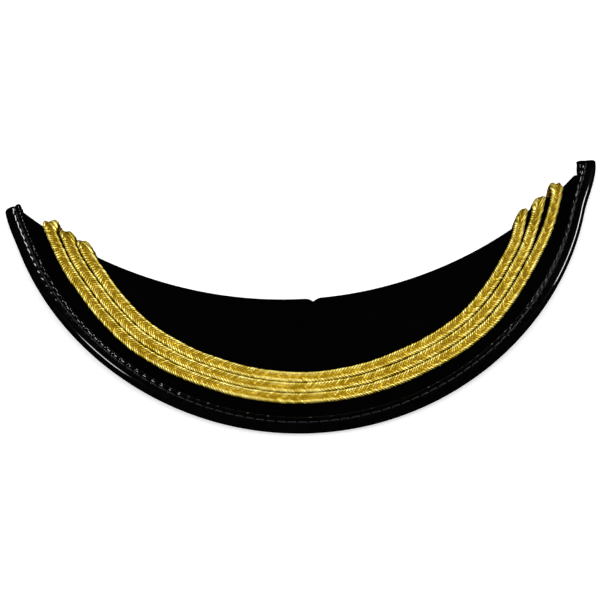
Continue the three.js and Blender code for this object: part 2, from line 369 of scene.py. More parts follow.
def cloth_finish():
    material, shader = new_material("black_wool_cloth")
    uv = coordinates(material, "UV")
    nap = noise(material, uv, 5200, detail=4.0, stretch=(1.0, 0.45, 1.0))
    weave = plus(material, twill(material, uv), 0.45)
    bump(material, shader, plus(material, weave, times(material, nap, 0.5)), WEAVE_DEPTH)
    patches = noise(material, coordinates(material, "Object"), 45)
    shade = plus(material, times(material, nap, 0.6), times(material, patches, 0.4))
    colour = ramp(material, shade, (0.3, (0.0002, 0.0002, 0.0003)), (0.75, (0.0009, 0.001, 0.0013)))
    connect(material, colour, shader.inputs["Base Color"])
    connect(material, between(material, nap, 0.86, 1.0), shader.inputs["Roughness"])
    shader.inputs["Specular IOR Level"].default_value = 0.05
    shader.inputs["Sheen Weight"].default_value = 0.0015
    shader.inputs["Sheen Roughness"].default_value = 0.45
    shader.inputs["Sheen Tint"].default_value = (0.62, 0.7, 1.0, 1.0)
    return material


cloth = cloth_finish()
print("cloth:", len(cloth.node_tree.nodes), "nodes")

# %% [markdown]
# The rim's outline runs on past both corners of the cloth, where the leather is longer than the
# board, and there it flares a little outwards. Distances along the rim are measured on the
# pattern in metres, so that stitches can be spaced by their real length.

# %% Along the rim
LEFT_OVERRUN, RIGHT_OVERRUN = 2.7 * MM, 8.6 * MM
LEFT_FLARE, RIGHT_FLARE = 0.9 * MM, 2.7 * MM
FLARE_LEAD = 17 * MM
CORNER_SPEED = np.hypot(rim["across"] * np.cos(rim["end"]), rim["along"] * np.sin(rim["end"]))


def run_of(points):
    """Distance run along a row of points: the sum of the steps up to each of them."""
    steps = np.linalg.norm(np.diff(points, axis=0), axis=-1)
    return np.concatenate([[0], np.cumsum(steps)])


fine_turns = np.linspace(0, rim["end"], 4001)
fine_run = run_of(ellipse_frame(rim, fine_turns)[0])
half_rim = fine_run[-1]


def rim_frame(place, past=0.0):
    """Rim point and outward direction at a place from -1 to 1, and past a corner by a length.

    Near its ends the rim leaves the ellipse, eased in and out, until it is the flare further out.
    """
    side = np.where(place < 0, -1.0, 1.0)
    overrun = np.where(place < 0, LEFT_OVERRUN, RIGHT_OVERRUN)
    flare = np.where(place < 0, LEFT_FLARE, RIGHT_FLARE)
    point, out, onward = ellipse_frame(rim, place * rim["end"])
    from_corner = past - (1 - np.abs(place)) * rim["end"] * CORNER_SPEED
    share = np.clip((from_corner + FLARE_LEAD) / (overrun + FLARE_LEAD), 0, 1)
    lean = 6 * flare * share * (1 - share) / (overrun + FLARE_LEAD)
    point = point + onward * (side * past)[..., None]
    point = point + out * (flare * smooth(share))[..., None]
    out = out - onward * (side * lean)[..., None]
    return point, out / np.linalg.norm(out, axis=-1, keepdims=True)


def rim_at(distance):
    """Rim point and outward direction at a signed distance from the middle of the rim."""
    place = np.interp(np.abs(distance), fine_run, fine_turns) / rim["end"] * np.sign(distance)
    return rim_frame(place, np.maximum(0, np.abs(distance) - half_rim))


print("rim from corner to corner:", round(2 * half_rim / MM), "mm")

# %% [markdown]
# The board is stiff fibre two millimetres thick, and the cloth is stretched over it and over its
# seam edge, so that edge is round. A small V in the seam marks the middle of the cap. The board
# is made as a loft from the rim over the top, round the seam edge and back underneath. Extra
# rows at the mark keep the V crisp.

# %% Cloth-covered board
CLOTH_HALF = 1.0 * MM
RIM_COVER = 1.5 * MM
NOTCH_DEPTH, NOTCH_HALF_WIDTH, NOTCH_OFFSET = 1.2 * MM, 2.8 * MM, 1.3 * MM
TONGUE_INSET = 4.4 * MM
LEFT_TONGUE_SHORTER, RIGHT_TONGUE_SHORTER = 0.5 * MM, 6.8 * MM
WAVE_DEPTH = 0.06 * MM
CLOTH_OVER_EDGE = 0.45 * MM
CLOTH_EDGE_ROUND = 0.5 * MM
PUSHED_OUT = 1.7 * MM
PUSHED_FROM, PUSHED_TO, PUSHED_EASE = 0.75, 0.89, 0.02
BOARD_ROWS, MARK_ROWS, TONGUE_ROWS = 301, 45, 12
SHEET_STEPS, SHEET_EDGE_STEPS = 26, 11
WAVE_ACROSS, WAVE_ALONG, WAVE_FADE = 9 * MM, 6.5 * MM, 12 * MM
UNDER_UV_SHIFT = 0.3


def seam_point(turn):
    """Seam ellipse, pushed outwards at the centre mark by the square of what is left of it."""
    point, out, _ = ellipse_frame(seam, turn)
    share = np.minimum(1, np.abs(point[..., 0] - NOTCH_OFFSET) / NOTCH_HALF_WIDTH)
    return point + out * (NOTCH_DEPTH * (1 - share) ** 2)[..., None]


def seam_out(turn):
    return ellipse_frame(seam, turn)[1]


def cloth_reach(places):
    """How far the cloth stands past the seam: further between the right ends of the braids."""
    rise = smooth((places - PUSHED_FROM) / PUSHED_EASE)
    return CLOTH_OVER_EDGE + PUSHED_OUT * rise * smooth((PUSHED_TO - places) / PUSHED_EASE)


def board_lines():
    """Seam point and rim point of every row, from the left tongue to the right one."""
    near_mark = NOTCH_OFFSET + NOTCH_HALF_WIDTH * np.linspace(-1.1, 1.1, MARK_ROWS)
    mark = np.arcsin(near_mark / seam["across"])
    places = np.concatenate([np.linspace(-1, 1, BOARD_ROWS), mark / seam["end"]])
    places = np.unique(places)
    rim_points, outs = rim_frame(places)
    turns = places * seam["end"]
    seam_side = [seam_point(turns) - seam_out(turns) * cloth_reach(places)[:, None]]
    rim_side = [rim_points - outs * RIM_COVER]
    tongues = (-1, LEFT_OVERRUN - LEFT_TONGUE_SHORTER), (1, RIGHT_OVERRUN - RIGHT_TONGUE_SHORTER)
    for side, tongue in tongues:
        past = np.linspace(0.15, 1, TONGUE_ROWS)[::side] * tongue
        points, outs = rim_frame(np.full(TONGUE_ROWS, float(side)), past)
        where = 0 if side < 0 else len(seam_side)
        seam_side.insert(where, points - outs * TONGUE_INSET)
        rim_side.insert(where, points - outs * RIM_COVER)
    return np.concatenate(seam_side), np.concatenate(rim_side)


def sheet_across(seam_side, rim_side, top, bottom, edge):
    """Section of a sheet: over the top, round the seam edge in half an ellipse, and back.

    A column is a distance in from the seam side and a height; the edge is how far in from the
    seam side the half ellipse starts.
    """
    depth = np.linalg.norm(rim_side - seam_side, axis=-1)[:, None]
    inward = (rim_side - seam_side) / depth
    share = np.linspace(1, 0, SHEET_STEPS)[None, :]
    angle = np.linspace(0.5, -0.5, SHEET_EDGE_STEPS + 2)[1:-1] * np.pi
    flat = edge + share * (depth - edge)
    roll = edge * (1 - np.cos(angle)) + 0 * depth
    distance = np.concatenate([flat, roll, flat[:, ::-1]], axis=1)
    middle_height, half = (top + bottom) / 2, (top - bottom) / 2
    edge_levels = middle_height + half * np.sin(angle)
    levels = [np.full(SHEET_STEPS, top), edge_levels, np.full(SHEET_STEPS, bottom)]
    points = seam_side[:, None] + inward[:, None] * distance[..., None]
    return points, np.concatenate(levels)[None, :] + 0 * distance, distance


seam_side, rim_side = board_lines()
flat_points, heights, from_seam = sheet_across(
    seam_side, rim_side, CLOTH_HALF, -CLOTH_HALF, CLOTH_EDGE_ROUND
)
ripple = np.sin(flat_points[..., 0] / WAVE_ACROSS) * np.sin(flat_points[..., 1] / WAVE_ALONG + 1.3)
heights = heights + WAVE_DEPTH * ripple * np.minimum(1, from_seam / WAVE_FADE) * np.sign(heights)
rows, columns = heights.shape
board = make_piece(
    "cloth_panel",
    mould(flat_points, heights),
    [grid_faces(rows, columns), ribbon_caps(rows, columns)],
    uv=flat_points + np.stack([0 * heights, np.where(heights < 0, UNDER_UV_SHIFT, 0.0)], -1),
)
dress(board, cloth, "black_cloth", "peak_panel")

# %% [markdown]
# Under the board there is a lining of thin black leatherette, cut a little short of the seam edge
# and tucked into the leather at the rim. The photograph doesn't show it, so it is kept plain. Its
# finish is a fine pebble grain, which a cell pattern gives: the cells are the pebbles and the
# lines between them are low.

# %% Lining
LINING_TOP, LINING_BOTTOM = -1.03 * MM, -1.27 * MM
LINING_SHORT = 2.2 * MM
LINING_IN_LEATHER = 1.6 * MM
LINING_EDGE_ROUND = 0.12 * MM
GRAIN_DEPTH = 0.05 * MM


def lining_finish():
    material, shader = new_material("leatherette_lining")
    place = coordinates(material, "Object")
    grain = add_node(material, "ShaderNodeTexVoronoi", feature="DISTANCE_TO_EDGE")
    grain.inputs["Scale"].default_value = 1700
    connect(material, place, grain.inputs["Vector"])
    pebble = math(material, "MINIMUM", times(material, grain.outputs[0], 5.0), 1.0)
    bump(material, shader, pebble, GRAIN_DEPTH)
    scuff = noise(material, place, 160)
    colour = ramp(material, scuff, (0.35, (0.006, 0.006, 0.0065)), (0.75, (0.012, 0.012, 0.0125)))
    connect(material, colour, shader.inputs["Base Color"])
    connect(material, between(material, scuff, 0.42, 0.62), shader.inputs["Roughness"])
    shader.inputs["Specular IOR Level"].default_value = 0.35
    return material


inward = rim_side - seam_side
inward /= np.linalg.norm(inward, axis=-1, keepdims=True)
lined = slice(TONGUE_ROWS + 2, -TONGUE_ROWS - 2)
flat_points, heights, _ = sheet_across(
    (seam_side + inward * LINING_SHORT)[lined],
    (rim_side - inward * LINING_IN_LEATHER)[lined],
    LINING_TOP,
    LINING_BOTTOM,
    LINING_EDGE_ROUND,
)
rows, columns = heights.shape
lining = make_piece(
    "under_lining",
    mould(flat_points, heights),
    [grid_faces(rows, columns), ribbon_caps(rows, columns)],
    uv=flat_points,
)
dress(lining, lining_finish(), "black_cloth")

# %% [markdown]
# The binding is a strip of patent leather folded over the rim and stitched through. The needle
# pulls it down at each hole and it puffs up between them, which gives the two dashed rows of
# light in the photograph: one in the stitched valley and one along its inner edge. It is made as
# one section carried along the rim. The height over the board is a sum: a roll, a flat, a valley
# at the stitches, and a soft edge, and the puffs come from a wave with the stitch's length.
# Each stitch is pulled and set a little differently, by draws from a seeded generator.

# %% Binding section
ROLL_RADIUS = 2.1 * MM
WIDTH_PLACE = np.array([-1.035, -1, -0.82, -0.5, 0, 0.6, 0.9, 1, 1.055]) * half_rim
WIDTH_THERE = np.array([6.7, 6.3, 6.1, 5.5, 5.2, 5.3, 5.2, 6.1, 7.4]) * MM
UNDER_SHORT = 0.5 * MM
EDGE_ROUND = 0.75 * MM
STITCH_PITCH = 3.6 * MM
VALLEY_INSET, VALLEY_DRIFT = 3.1 * MM, 1.2 * MM
VALLEY_WIDTH = 0.5 * MM
VALLEY_DEPTH = 0.3 * MM
HOLE_DEPTH = 0.28 * MM
PUFF = 0.2 * MM
PUFF_SHIFT, PUFF_WIDTH = 0.25 * MM, 0.75 * MM
SCALLOP = 0.12 * MM
SEATED = 1.04 * MM
INNER_RIM = 1.2 * MM
END_ROUND = 0.5 * MM
LEFT_CUT, RIGHT_CUT = 0.1 * MM, 2.2 * MM
CUT_LEAD = 8 * MM
CORNER_ROUND = 0.6 * MM
TABLE_GAP = 0.02 * MM
PINCH, PINCH_LEAD = 0.6, 4.5 * MM

DRAWS, MIDDLE_DRAW = 400, 150

rng = np.random.default_rng(7)
stitch_force = rng.uniform(0.6, 1.35, DRAWS)
stitch_slip = rng.normal(0, 0.05, DRAWS)


def leather_width(distance):
    """Width of the leather on top, straight between the named places: wider at both ends."""
    return np.interp(distance, WIDTH_PLACE, WIDTH_THERE)


def valley_inset(distance):
    """Stitch row's distance in from the rim: it eases inwards from the middle to both ends."""
    return VALLEY_INSET + VALLEY_DRIFT * smooth(np.abs(distance) / half_rim)


def stitch_wave(distance):
    """Between 0 at the middle of a stitch and 1 at a hole, and how hard that stitch is pulled."""
    count = distance / STITCH_PITCH
    near = np.rint(count).astype(int) + MIDDLE_DRAW
    return 0.5 + 0.5 * np.cos(2 * np.pi * count), stitch_force[near]


def leather_height(inset, distance, width):
    """Height of the leather's face over the middle of the board, at an inset from the rim.

    Roll: a circle. Edge: a quarter circle down to the cloth. Valley and holes: bells that are
    taken off. Puffs: bells between the holes, on the bead at the inner edge.
    """
    wave, force = stitch_wave(distance)
    along_roll = np.clip(inset, 0, ROLL_RADIUS)
    roll = np.sqrt(np.maximum(0, ROLL_RADIUS**2 - (ROLL_RADIUS - along_roll) ** 2))
    valley = valley_inset(distance)
    bell = np.exp(-(((inset - valley) / VALLEY_WIDTH) ** 2))
    dip = bell * (VALLEY_DEPTH + HOLE_DEPTH * force * wave**3)
    bead_at = (valley + width) / 2 + PUFF_SHIFT
    bead = np.exp(-(((inset - bead_at) / PUFF_WIDTH) ** 2))
    puff = PUFF * bead * force * (0.55 - wave**2)
    into_edge = np.clip((inset - (width - EDGE_ROUND)) / EDGE_ROUND, 0, 1)
    edge = np.sqrt(1 - into_edge**2)
    face = roll - dip + puff
    return np.where(inset > ROLL_RADIUS, SEATED + (face - SEATED) * edge, roll)


def binding_columns(distance, width):
    """Insets of one face, from its inner edge to the silhouette, gathered at valley and edge."""
    valley = valley_inset(distance)[:, None]
    turn = np.linspace(np.pi / 2, 0, 11)[None, :]
    rounding = np.linspace(0, np.pi / 2, 7)[None, :-1]
    wave, force = stitch_wave(distance)
    edge_at = (width + SCALLOP * force * (0.5 - wave))[:, None]
    edge = edge_at - EDGE_ROUND * (1 - np.cos(rounding))
    inner_flat = edge_at - EDGE_ROUND
    to_valley = inner_flat + (valley + 0.8 * VALLEY_WIDTH - inner_flat) * np.linspace(0, 1, 5)
    dip = valley + VALLEY_WIDTH * np.linspace(0.5, -0.8, 5)
    flat_end = valley - 1.2 * VALLEY_WIDTH
    flat = flat_end + (ROLL_RADIUS - flat_end) * np.linspace(0, 1, 4)[:-1]
    roll = ROLL_RADIUS * (1 - np.cos(turn)) + 0 * valley
    return np.concatenate([edge, to_valley, dip, flat, roll], axis=1)


print("stitches along the rim:", int((2 * half_rim + LEFT_OVERRUN + RIGHT_OVERRUN) / STITCH_PITCH))

# %% [markdown]
# Patent leather is leather under a thick clear lacquer. It reflects like black glass, with a
# slight waviness from the leather below, and fine creases. So the shader has a very dark base,
# a full clear coat with little roughness, and a bump of long soft noise with fainter fine grain.

# %% Leather finish
LEATHER_RELIEF = 0.04 * MM


def leather_finish():
    material, shader = new_material("patent_leather")
    place = coordinates(material, "Object")
    waviness = noise(material, place, 210, detail=2.0)
    grain = add_node(material, "ShaderNodeTexVoronoi", feature="SMOOTH_F1")
    grain.inputs["Scale"].default_value = 1300
    connect(material, place, grain.inputs["Vector"])
    height = plus(material, times(material, waviness, 0.8), times(material, grain.outputs[0], 0.06))
    bump(material, shader, height, LEATHER_RELIEF)
    wear = noise(material, place, 420, detail=5.0)
    colour = ramp(material, wear, (0.35, (0.0006, 0.0006, 0.0007)), (0.8, (0.0018, 0.0018, 0.002)))
    connect(material, colour, shader.inputs["Base Color"])
    connect(material, between(material, wear, 0.2, 0.4), shader.inputs["Roughness"])
    shader.inputs["Specular IOR Level"].default_value = 0.02
    shader.inputs["Coat Weight"].default_value = 1.0
    shader.inputs["Coat Roughness"].default_value = 0.035
    return material


leather = leather_finish()
print("leather:", len(leather.node_tree.nodes), "nodes")

# %% [markdown]
# The strip is one closed band: its outer face goes over the top, round the rim and back below,
# and a channel inside it holds the board. Past the board's corners nothing fills the channel, so
# the long right end is pressed flat, as a maker's thumb would leave it. Both ends are cut a
# little askew with rounded corners, and no point may sink below the table.

# %% Binding
ROWS_PER_STITCH = 9
CHANNEL_TOP = SEATED - 0.02 * MM
CHANNEL_BOTTOM = -1.29 * MM
LIP = 0.3 * MM


def binding_face(distance, width):
    """Insets and heights of the outer face, from the top's inner edge round to the underside's.

    The underside is the section of the top turned over, half a stitch later and a bit narrower.
    """
    along, later = distance[:, None], distance + STITCH_PITCH / 2
    under_width = width - UNDER_SHORT
    top = binding_columns(distance, width)
    under = binding_columns(later, under_width)[:, ::-1][:, 1:]
    top_height = leather_height(top, along, width[:, None])
    under_height = leather_height(under, later[:, None], under_width[:, None])
    heights = [top_height, -np.minimum(under_height, ROLL_RADIUS)]
    return np.concatenate([top, under], axis=1), np.concatenate(heights, axis=1)


def binding_channel(width, columns):
    """Insets and heights of the channel, one for each column of the outer face.

    Its roof runs in a straight line from the top's lip to the rim, and its floor from there back
    to the lip of the underside, at two heights that clear the board and the lining.
    """
    split = (columns + 1) // 2
    lip = width[:, None] - LIP
    roof = lip + (INNER_RIM - lip) * np.linspace(0, 1, split)
    lip = lip - UNDER_SHORT
    ground = INNER_RIM + (lip - INNER_RIM) * np.linspace(0, 1, columns - split)
    level = np.concatenate([np.full(split, CHANNEL_TOP), np.full(columns - split, CHANNEL_BOTTOM)])
    return np.concatenate([roof, ground], axis=1), level[None, :] + 0 * width[:, None]


def binding_surface():
    """Closed band of rows along the rim: the outer face, then the channel in reverse.

    At both ends the face closes in on the channel by an ellipse. The cut moves a point along the
    rim by its share of the strip's half width, and the corners are held back by the sixth power
    of that share. Pinching is a share taken off every height.
    """
    start, stop = -half_rim - LEFT_OVERRUN, half_rim + RIGHT_OVERRUN
    steps = int((stop - start) / STITCH_PITCH * ROWS_PER_STITCH)
    at_ends = END_ROUND * (1 - np.cos(np.linspace(0.1, 0.5, 5) * np.pi))
    distance = np.concatenate([np.linspace(start, stop, steps), start + at_ends, stop - at_ends])
    distance = np.unique(distance)
    along, width = distance[:, None], leather_width(distance)
    inset, height = binding_face(distance, width)
    inner, inner_height = binding_channel(width, inset.shape[1])
    to_end = np.minimum(distance - start, stop - distance)
    full = np.sqrt(1 - 0.9 * np.clip(1 - to_end / END_ROUND, 0, 1) ** 2)[:, None]
    inset = inner + (inset - inner) * full
    height = inner_height + (height - inner_height) * full
    inset = np.concatenate([inset, inner[:, ::-1]], axis=1)
    height = np.concatenate([height, inner_height[:, ::-1]], axis=1)
    height = height * (1 - PINCH * smooth(1 - (stop - distance) / PINCH_LEAD)[:, None])
    outward = 1 - 2 * inset / width[:, None]
    cut = np.where(along < 0, -LEFT_CUT, RIGHT_CUT) * outward
    rounded = np.sign(along) * CORNER_ROUND * np.minimum(1, np.abs(outward)) ** 6
    near_end = smooth(1 - to_end / CUT_LEAD)[:, None]
    point, out = rim_at(along + (cut - rounded) * near_end)
    surface = mould(point - out * inset[..., None], height)
    surface[..., 2] = np.maximum(surface[..., 2], TABLE_GAP)
    return surface


band = binding_surface()
rows, columns = band.shape[:2]
binding = make_piece("rim_binding", band, [grid_faces(rows, columns), ribbon_caps(rows, columns)])
dress(binding, leather, "patent_leather", "edge_binding")

# %% [markdown]
# The stitches are a waxed black thread. Each one is a short round length that lies in the valley
# and dives into its hole at both ends. All of them are worked out together as one grid with an
# extra dimension, one layer for each stitch, and kept to a few faces each.

# %% Stitches
THREAD_RADIUS = 0.24 * MM
STITCH_REACH = 1.62 * MM
END_GAP = 1.2 * MM
SINK_DEPTH = 0.5 * MM
TWIST_DEPTH = 0.07 * MM
RINGS, SIDES = 8, 6


def thread_finish():
    material, shader = new_material("waxed_thread")
    along, turns = split_uv(material)
    twist = plus(material, times(material, along, 14000.0), times(material, turns, 6.283))
    strands = between(material, math(material, "SINE", twist), 0.3, 0.7)
    bump(material, shader, strands, TWIST_DEPTH)
    fuzz = noise(material, coordinates(material, "Object"), 3000)
    colour = ramp(material, fuzz, (0.3, (0.006, 0.006, 0.007)), (0.8, (0.02, 0.02, 0.022)))
    connect(material, colour, shader.inputs["Base Color"])
    connect(material, between(material, fuzz, 0.18, 0.4), shader.inputs["Roughness"])
    return material


def stitch_surface(face, shift):
    """Rings of every stitch on one face, and their distance along and turn as a UV map.

    A ring sinks, and its radius shrinks, by the fifth power of its share of the way from the
    middle of its stitch to an end. The face is 1 on top and -1 on the underside.
    """
    start, stop = -half_rim - LEFT_OVERRUN + END_GAP, half_rim + RIGHT_OVERRUN - END_GAP
    first = np.ceil((start + STITCH_REACH) / STITCH_PITCH - 0.5 - shift)
    last = np.floor((stop - STITCH_REACH) / STITCH_PITCH - 0.5 - shift)
    index = np.arange(first, last + 1)
    centre = (index + 0.5 + shift) * STITCH_PITCH
    share = np.linspace(-1, 1, RINGS)
    angle = np.arange(SIDES) * 2 * np.pi / SIDES
    distance = (centre[:, None] + share * STITCH_REACH)[..., None] + 0 * angle
    radius = THREAD_RADIUS * (1 - 0.45 * np.abs(share) ** 5)[None, :, None]
    slant = stitch_slip[: len(index)][:, None, None] * MM * share[None, :, None]
    inset = valley_inset(distance) + slant + radius * np.cos(angle)
    in_wave = centre + shift * STITCH_PITCH
    valley_height = leather_height(valley_inset(centre), in_wave, leather_width(centre))
    middle_height = valley_height[:, None, None] + THREAD_RADIUS * 0.55
    sink = SINK_DEPTH * np.abs(share) ** 5
    height = face * (middle_height - sink[None, :, None] + radius * np.sin(angle))
    point, out = rim_at(distance)
    uv = np.stack([distance, angle / (2 * np.pi) + 0 * distance], -1)
    return mould(point - out * inset[..., None], height), uv


stitch_points, stitch_uv, stitch_faces, stitch_caps = [], [], [], []
offset = 0
for face, shift in ((1, 0.0), (-1, 0.5)):
    points, uv = stitch_surface(face, shift)
    per_stitch = RINGS * SIDES
    base = offset + np.arange(len(points))[:, None, None] * per_stitch
    stitch_faces.append((grid_faces(RINGS, SIDES)[None] + base).reshape(-1, 4)[:, ::face])
    ends = np.stack([np.arange(SIDES)[::-1], np.arange(SIDES) + per_stitch - SIDES])
    stitch_caps.append((ends[None] + base).reshape(-1, SIDES)[:, ::face])
    stitch_points.append(points.reshape(-1, 3))
    stitch_uv.append(uv.reshape(-1, 2))
    offset += len(points) * per_stitch
stitches = make_piece(
    "rim_stitches",
    np.concatenate(stitch_points),
    [np.concatenate(stitch_faces), np.concatenate(stitch_caps)],
    uv=np.concatenate(stitch_uv),
)
dress(stitches, thread_finish(), "patent_leather")

# %% [markdown]
# Each gold row is a flat braid: metal threads plaited in a herringbone over two cords, so it has
# a round bead along each edge and a lower strip of crossing threads between them. The strip lies in
# the beads' shade, and that shade is painted into its colour. The threads catch the light one by
# one, so they are real relief here. The distance along the braid and the distance across it make a
# slanting count of threads, which runs the other way on the other half, and each thread rises between
# two counts like a row of laid rope.

# %% Where the braids run
BRAID_INSET = 9.8 * MM
BRAID_WIDTH = 3.45 * MM
BRAID_TAIL = 5 * MM
CLEARANCE = 0.3 * MM
BRAID_SWING = 0.8
HALVINGS = 40
COURSE_PLACE = np.array([-0.92, -0.76, -0.52, -0.25, 0.25, 0.5, 0.72, 0.88])
COURSE_DRIFT = np.array([0.38, 0.29, -0.15, 0, 0, -0.33, -0.04, -0.1])
COURSE_SPREAD = np.array([0.16, 0.06, 0.02, 0, 0, 0, 0.06, 0.4])


def eased(place, values):
    """Values between the rows of the course, eased in and out at each row."""
    before = np.clip(np.searchsorted(COURSE_PLACE, place) - 1, 0, len(COURSE_PLACE) - 2)
    low, high = COURSE_PLACE[before], COURSE_PLACE[before + 1]
    share = smooth((place - low) / (high - low))
    return values[before] + (values[before + 1] - values[before]) * share


def braid_point(order, across, place):
    """Pattern point of a braid: across is a share of its half width, towards the seam below 0."""
    pitch = BRAID_WIDTH * (1 + eased(place, COURSE_SPREAD)) + CLEARANCE
    outer_middle = BRAID_INSET + BRAID_WIDTH * (0.5 + eased(place, COURSE_DRIFT))
    inset = outer_middle + order * pitch - across * BRAID_WIDTH / 2
    point, out, _ = ellipse_frame(rim, place * rim["end"])
    return point - out * inset[..., None]


def seam_shares(point):
    """Across and along of a pattern point from the seam ellipse's centre, as shares of its halves."""
    return point[..., 0] / seam["across"], (point[..., 1] - seam["centre"]) / seam["along"]


def place_at_seam(order, across, side):
    """Place where each line of a braid meets the seam, found by halving the range over and over."""
    inside = np.zeros_like(across)
    beyond = np.full_like(across, float(side))
    for _ in range(HALVINGS):
        place = (inside + beyond) / 2
        reach = np.hypot(*seam_shares(braid_point(order, across, place)))
        inside = np.where(reach > 1, place, inside)
        beyond = np.where(reach > 1, beyond, place)
    return inside


across_table = np.linspace(-1.3, 1.3, 41)
meets = [round(float(place_at_seam(0, np.zeros(1), side)[0]), 3) for side in (-1, 1)]
print("outer braid meets the seam at", meets)

# %% [markdown]
# A braid's section is a flat underside and two round beads with a low strip between them. The
# threads aren't modelled one by one, which would take millions of faces: they are a relief on
# that section. Two braids lie so close that light hardly reaches the flanks between them, so a
# value on the mesh tells the shader which points are lit, and the shader paints shade on the flanks.

# %% Section and threads of a braid
BEAD_AT = 1.22 * MM
BEAD_ACROSS, BEAD_UP, BEAD_HEIGHT = 0.48 * MM, 0.8 * MM, 0.62 * MM
BEAD_FROM, BEAD_TO = -42, 155
BEAD_COLUMNS, STRIP_COLUMNS = 12, 4
STRIP_HEIGHT, STRIP_HALF = 0.95 * MM, 0.8 * MM
UNDER_HALF = 0.9 * MM
FLANK_LOW, FLANK_HIGH = 0.45 * MM, 1.1 * MM
THREAD_PITCH = 1.0 * MM
THREAD_SLANT = 0.9
THREAD_RELIEF = 0.28 * MM
LONG_WANDER, SHORT_WANDER = 5.3 * MM, 1.9 * MM


def braid_section():
    """Closed section: under the braid, up one bead, across the strip and down the other bead.

    Gives the distance across and the height, the outward direction, the distance run along the
    top, the share of the low strip in the middle, whether a point is on top, and how well it is
    lit: the flanks between two braids are given painted shade, a darker colour.
    """
    angle = np.radians(np.linspace(BEAD_FROM, BEAD_TO, BEAD_COLUMNS))
    left_across = -BEAD_AT - BEAD_ACROSS * np.cos(angle)
    left = np.stack([left_across, BEAD_HEIGHT + BEAD_UP * np.sin(angle)])
    right = left[:, ::-1] * np.array([[-1.0], [1.0]])
    strip_across = np.linspace(left[0, -1], right[0, 0], STRIP_COLUMNS + 2)[1:-1]
    strip = np.stack([strip_across, np.full(STRIP_COLUMNS, STRIP_HEIGHT)])
    under = np.stack([np.array([UNDER_HALF, 0.0, -UNDER_HALF]), np.zeros(3)])
    section = np.concatenate([under[:, 2:], left, strip, right, under[:, :2]], axis=1)
    ahead_of = np.roll(section, -1, axis=1) - np.roll(section, 1, axis=1)
    normal = np.stack([-ahead_of[1], ahead_of[0]])
    normal /= np.linalg.norm(normal, axis=0)
    run = run_of(section.T)
    run -= (run[BEAD_COLUMNS] + run[BEAD_COLUMNS + STRIP_COLUMNS + 1]) / 2
    on_strip = np.exp(-((section[0] / STRIP_HALF) ** 6))
    on_top = np.ones(section.shape[1])
    on_top[[0, -1, -2]] = 0
    rise = smooth((section[1] - FLANK_LOW) / (FLANK_HIGH - FLANK_LOW))
    # Painted shade: on the flanks between two braids, below their beads, the colour is made dark.
    lit = np.where(np.abs(section[0]) > BEAD_AT, rise, 1) * on_top
    return section, normal, run, on_strip, on_top, lit


section, section_normal, section_run, on_strip, on_top, lit = braid_section()


def threads(along, seed):
    """Relief from 0 to about 1 on a grid of along and across.

    The count of threads is the distance along less the slanted distance from the middle line,
    over the pitch, half a count later on the other half, and it wanders by two slow sines.
    Relief is a rounded arch for each thread, times how hard that thread was pulled.
    """
    order_rng = np.random.default_rng(seed)
    from_middle = np.abs(section_run)[None, :]
    half = (section_run > 0)[None, :]
    wander = 0.22 * np.sin(along / LONG_WANDER + seed) + 0.16 * np.sin(along / SHORT_WANDER + 2 * seed)
    count = (along - THREAD_SLANT * from_middle) / THREAD_PITCH + 0.5 * half + wander
    index = np.floor(count).astype(int)
    arch = 1 - (2 * (count - index) - 1) ** 2
    force = order_rng.uniform(0.55, 1.15, 6000)[index % 2999 + 3000 * half]
    return arch * force


print("section of", section.shape[1], "points,", round(section[1].max() / MM, 2), "mm high")

# %% [markdown]
# At both ends a braid turns over the seam edge and is tacked under the board. It isn't folded
# hard: it bulges past the edge, more on the side where it would have to bend back furthest.
# Main run, half turn and tail are one grid, so the threads run through without a break. First
# come three measures of that grid: where its lines turn over, how long it is, and its section.

# %% Along a braid
FOLD_HEIGHT = 1.55 * MM
FOLD_LEAD = 2.5 * MM
FOLD_HALF, FOLD_EASE = 1.5 * MM, 0.6 * MM
COARSE_ROWS = 2001


def turning_places(order, side, loose_side):
    """Places where the lines of a braid turn over the edge at one end, and its middle line's.

    A line on the seam's side would turn over sooner than the middle line. The loose side is the
    share of that difference which it runs on for.
    """
    own = place_at_seam(order, across_table, side)
    centre = place_at_seam(order, np.zeros(1), side)[0]
    return own + loose_side * np.maximum(0, side * (centre - own)) * side, centre


def middle_run(order, left_end, right_end):
    """Distances along a braid's middle line between its two turns, and their shares from -1 to 1."""
    share = np.linspace(-1, 1, COARSE_ROWS)
    place = share * np.where(share < 0, -left_end, right_end)
    line = braid_point(order, np.zeros(COARSE_ROWS), place)
    return run_of(mould(line, np.full(COARSE_ROWS, CLOTH_HALF))), share


def section_along(run, past, seed):
    """Share across, height and relief of the section in every row.

    The threads lift it along its own outward direction, less two fifths of their relief, and it
    sways from side to side by two small sines. Near a turn the middle rises to the beads' height.
    """
    relief = threads(run, seed)
    lift = relief * THREAD_RELIEF * on_top * (1 - 0.25 * on_strip)
    sway = 0.05 * MM * np.sin(run / (7 * MM) + seed) + 0.04 * MM * np.sin(run / (3.1 * MM) + 3 * seed)
    across = (section[0] + section_normal[0] * (lift - 0.4 * THREAD_RELIEF) + sway) / (BRAID_WIDTH / 2)
    up = section[1] + section_normal[1] * (lift - 0.4 * THREAD_RELIEF * on_top)
    in_middle = smooth((FOLD_HALF - np.abs(section[0])) / FOLD_EASE)
    folding = smooth((past + FOLD_LEAD) / (1.6 * FOLD_LEAD)) * in_middle
    up = up + 0.85 * folding * on_top * (FOLD_HEIGHT + lift - up)
    return across, np.maximum(up, 0), relief


left_end, right_end = (turning_places(0, side, 0.0)[1] for side in (-1, 1))
print("outer braid between its turns:", round(middle_run(0, left_end, right_end)[0][-1] / MM), "mm")

# %% [markdown]
# The turn itself is half a circle round the board's edge, stretched where the braid bulges. A
# braid doesn't meet the seam squarely, so a point that reaches past the edge also moves sideways
# along it, the way the braid was heading. Without this the turned end would lean back.

